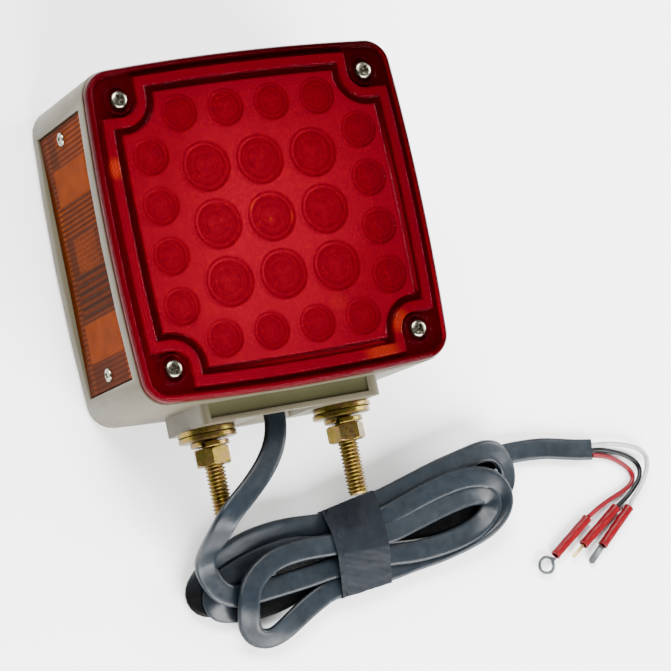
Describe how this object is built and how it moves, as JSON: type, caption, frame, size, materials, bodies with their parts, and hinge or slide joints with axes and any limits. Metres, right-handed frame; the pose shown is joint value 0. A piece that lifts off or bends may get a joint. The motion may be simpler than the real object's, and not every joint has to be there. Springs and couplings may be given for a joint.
{
  "type": "trailer tail light",
  "caption": "Square pedestal-mounted LED trailer tail light with a red front lens, an amber side marker lens, threaded mounting studs and a wired cord tied in a hank.",
  "frame": {"origin": "below the middle of the light, midway between the top of the housing and the tips of the studs, at the level of the housing's back face that rests on the table", "axes": "+Z out of the red front lens, +Y towards the light's top (the studs point to -Y), +X to the light's right; the amber side lens faces -X"},
  "size_m": [0.2358, 0.2203, 0.0668],
  "materials": {
    "housing_silver": "moulded plastic with a fine satin silver-grey metallic finish",
    "red_lens": "clear red moulded plastic with optics",
    "gasket_foam": "closed-cell foam",
    "nickel_screw": "nickel plated",
    "circuit_board": "white solder resist",
    "led_epoxy": "clear epoxy",
    "amber_lens": "clear amber moulded plastic with ribs",
    "zinc_yellow": "yellow zinc plating",
    "grommet_rubber": "satin",
    "cord_jacket": "satin black vinyl",
    "black_tape": "satin black vinyl tape",
    "wire_white": "vinyl insulation",
    "wire_black": "vinyl insulation",
    "wire_red": "vinyl insulation",
    "terminal_sleeve": "translucent red vinyl sleeve",
    "tinned_terminal": "tin plated copper",
    "brass_terminal": "plain"
  },
  "bodies": {
    "light": {"black_wire": "wire_black", "blade_terminal": "tinned_terminal", "blade_terminal_sleeve": "terminal_sleeve", "cord_grommet": "grommet_rubber", "cord_hank": "cord_jacket", "cord_lead": "cord_jacket", "cord_tail": "cord_jacket", "front_lens": "red_lens", "front_lens_gasket": "gasket_foam", "front_lens_screw_bottom_left": "nickel_screw", "front_lens_screw_bottom_right": "nickel_screw", "front_lens_screw_top_left": "nickel_screw", "front_lens_screw_top_right": "nickel_screw", "hank_tape": "black_tape", "housing": "housing_silver", "inner_washer_left": "zinc_yellow", "inner_washer_right": "zinc_yellow", "inner_wire_black": "wire_black", "inner_wire_red": "wire_red", "inner_wire_white": "wire_white", "led_board": "circuit_board", "led_board_screw_bottom_left": "nickel_screw", "led_board_screw_bottom_right": "nickel_screw", "led_board_screw_top_left": "nickel_screw", "led_board_screw_top_right": "nickel_screw", "mounting_stud_left": "zinc_yellow", "mounting_stud_right": "zinc_yellow", "outer_washer_left": "zinc_yellow", "outer_washer_right": "zinc_yellow", "pin_terminal": "brass_terminal", "pin_terminal_sleeve": "terminal_sleeve", "red_wire": "wire_red", "ring_terminal": "tinned_terminal", "ring_terminal_sleeve": "terminal_sleeve", "side_marker_board": "circuit_board", "side_marker_emitter": "led_epoxy", "side_marker_gasket": "gasket_foam", "side_marker_lens": "amber_lens", "side_marker_screw_bottom": "nickel_screw", "side_marker_screw_top": "nickel_screw", "side_wire_ground": "wire_white", "side_wire_supply": "wire_red", "white_wire": "wire_white"},
    "lock_washer_left": {"lock_washer_left": "zinc_yellow"},
    "nut_left": {"nut_left": "zinc_yellow"},
    "lock_washer_right": {"lock_washer_right": "zinc_yellow"},
    "nut_right": {"nut_right": "zinc_yellow"}
  },
  "joints": [
    {"name": "nut_left_travel", "type": "slide", "parent": "light", "child": "lock_washer_left", "axis": [0, -1, 0], "range_m": [0, 0.00584]},
    {"name": "nut_left_turn", "type": "hinge", "parent": "lock_washer_left", "child": "nut_left", "pos_m": [-0.0278, -0.0615, 0.031], "axis": [0, -1, 0], "range_deg": [0, 1440]},
    {"name": "nut_right_travel", "type": "slide", "parent": "light", "child": "lock_washer_right", "axis": [0, -1, 0], "range_m": [0, 0.01713]},
    {"name": "nut_right_turn", "type": "hinge", "parent": "lock_washer_right", "child": "nut_right", "pos_m": [0.0278, -0.0615, 0.031], "axis": [0, -1, 0], "range_deg": [0, 4320]}
  ],
  "couplings": [
    {"joint": "nut_left_travel", "follows": "nut_left_turn", "m_per_rad": 0.00022458},
    {"joint": "nut_right_travel", "follows": "nut_right_turn", "m_per_rad": 0.00022458}
  ]
}
